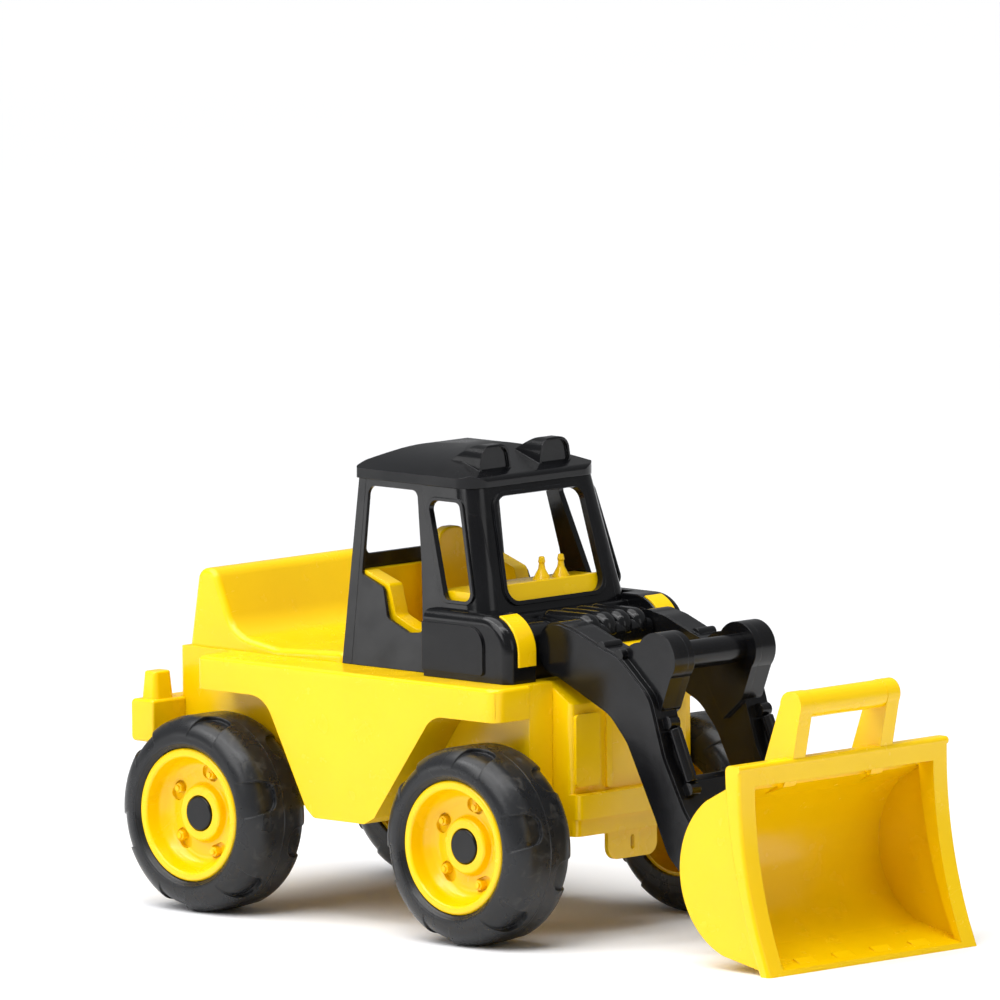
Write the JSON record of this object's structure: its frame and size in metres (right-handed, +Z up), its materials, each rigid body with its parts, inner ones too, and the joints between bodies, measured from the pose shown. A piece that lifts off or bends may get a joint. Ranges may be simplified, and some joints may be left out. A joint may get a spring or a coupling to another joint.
{
  "type": "ride-on loader",
  "caption": "Ride-on toy wheel loader with a seat, open cab, louvred hood and free-rolling wheels, lifting loader arms joined by a grip bar, and a tilting front bucket with a handle.",
  "frame": {"origin": "on the floor, at the middle of the overall length and width", "axes": "+X forwards towards the bucket, +Y to the rider's left, +Z up"},
  "size_m": [0.79, 0.3678, 0.436],
  "materials": {
    "yellow_plastic": "gloss",
    "black_plastic": "gloss",
    "tyre_plastic": "satin",
    "steel": "brushed"
  },
  "bodies": {
    "chassis": {"arm_pivot_pin": "steel", "axle_carrier_front": "black_plastic", "axle_carrier_rear": "black_plastic", "axle_front": "steel", "axle_rear": "steel", "axle_spacers": "black_plastic", "axle_washers": "steel", "cab_back": "black_plastic", "cab_roof": "black_plastic", "cab_side_left": "black_plastic", "cab_side_right": "black_plastic", "carrier_screws": "steel", "control_lever_inner": "yellow_plastic", "control_lever_outer": "yellow_plastic", "fender_left": "yellow_plastic", "fender_right": "yellow_plastic", "headlight_left": "yellow_plastic", "headlight_right": "yellow_plastic", "hood": "black_plastic", "hub_cap_front_left": "black_plastic", "hub_cap_front_right": "black_plastic", "hub_cap_rear_left": "black_plastic", "hub_cap_rear_right": "black_plastic", "interior_tub": "yellow_plastic", "main_body": "yellow_plastic", "nose_panel": "yellow_plastic", "rear_bumper": "yellow_plastic", "seat": "yellow_plastic", "toy_seat": "yellow_plastic", "windscreen_frame": "black_plastic"},
    "wheel_front_left": {"tyre_front_left": "tyre_plastic", "rim_front_left": "yellow_plastic"},
    "wheel_front_right": {"tyre_front_right": "tyre_plastic", "rim_front_right": "yellow_plastic"},
    "wheel_rear_left": {"tyre_rear_left": "tyre_plastic", "rim_rear_left": "yellow_plastic"},
    "wheel_rear_right": {"tyre_rear_right": "tyre_plastic", "rim_rear_right": "yellow_plastic"},
    "loader_arms": {"loader_arm_left": "black_plastic", "loader_arm_right": "black_plastic", "arm_cover_left": "black_plastic", "arm_cover_right": "black_plastic", "hydraulic_rod_left": "black_plastic", "hydraulic_rod_right": "black_plastic", "grip_bar": "black_plastic", "cross_member": "black_plastic", "bucket_pin": "steel", "bucket_pin_cap_left": "black_plastic", "bucket_pin_cap_right": "black_plastic"},
    "bucket": {"bucket": "yellow_plastic", "bucket_grip": "yellow_plastic"}
  },
  "joints": [
    {"name": "wheel_front_left_spin", "type": "hinge", "parent": "chassis", "child": "wheel_front_left", "pos_m": [0.045, 0, 0.09], "axis": [0, 1, 0], "continuous": true},
    {"name": "wheel_front_right_spin", "type": "hinge", "parent": "chassis", "child": "wheel_front_right", "pos_m": [0.045, 0, 0.09], "axis": [0, 1, 0], "continuous": true},
    {"name": "wheel_rear_left_spin", "type": "hinge", "parent": "chassis", "child": "wheel_rear_left", "pos_m": [-0.29, 0, 0.09], "axis": [0, 1, 0], "continuous": true},
    {"name": "wheel_rear_right_spin", "type": "hinge", "parent": "chassis", "child": "wheel_rear_right", "pos_m": [-0.29, 0, 0.09], "axis": [0, 1, 0], "continuous": true},
    {"name": "arm_lift", "type": "hinge", "parent": "chassis", "child": "loader_arms", "pos_m": [0.075, 0, 0.262], "axis": [0, -1, 0], "range_deg": [0, 45]},
    {"name": "bucket_tilt", "type": "hinge", "parent": "loader_arms", "child": "bucket", "pos_m": [0.25, 0, 0.075], "axis": [0, -1, 0], "range_deg": [-45, 35]}
  ]
}
